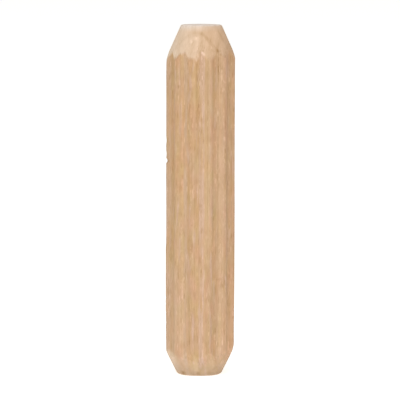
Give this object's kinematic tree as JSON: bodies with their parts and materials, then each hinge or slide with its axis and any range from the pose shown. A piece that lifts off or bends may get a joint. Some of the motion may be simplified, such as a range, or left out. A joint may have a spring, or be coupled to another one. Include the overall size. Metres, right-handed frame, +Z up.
{
  "type": "dowel pin",
  "caption": "Fluted wooden dowel pin with rounded lengthwise ridges and coned ends, glued into drilled holes to line up and join panels.",
  "frame": {"origin": "centre of the flat foot that the pin stands on", "axes": "+Z up along the pin's axis towards the slimmer end, +X towards the middle of a flute, nicks on the -X side"},
  "size_m": [0.0078, 0.0078, 0.04],
  "materials": {
    "beech": "matte"
  },
  "bodies": {
    "root": {"dowel_pin": "beech"}
  },
  "joints": []
}
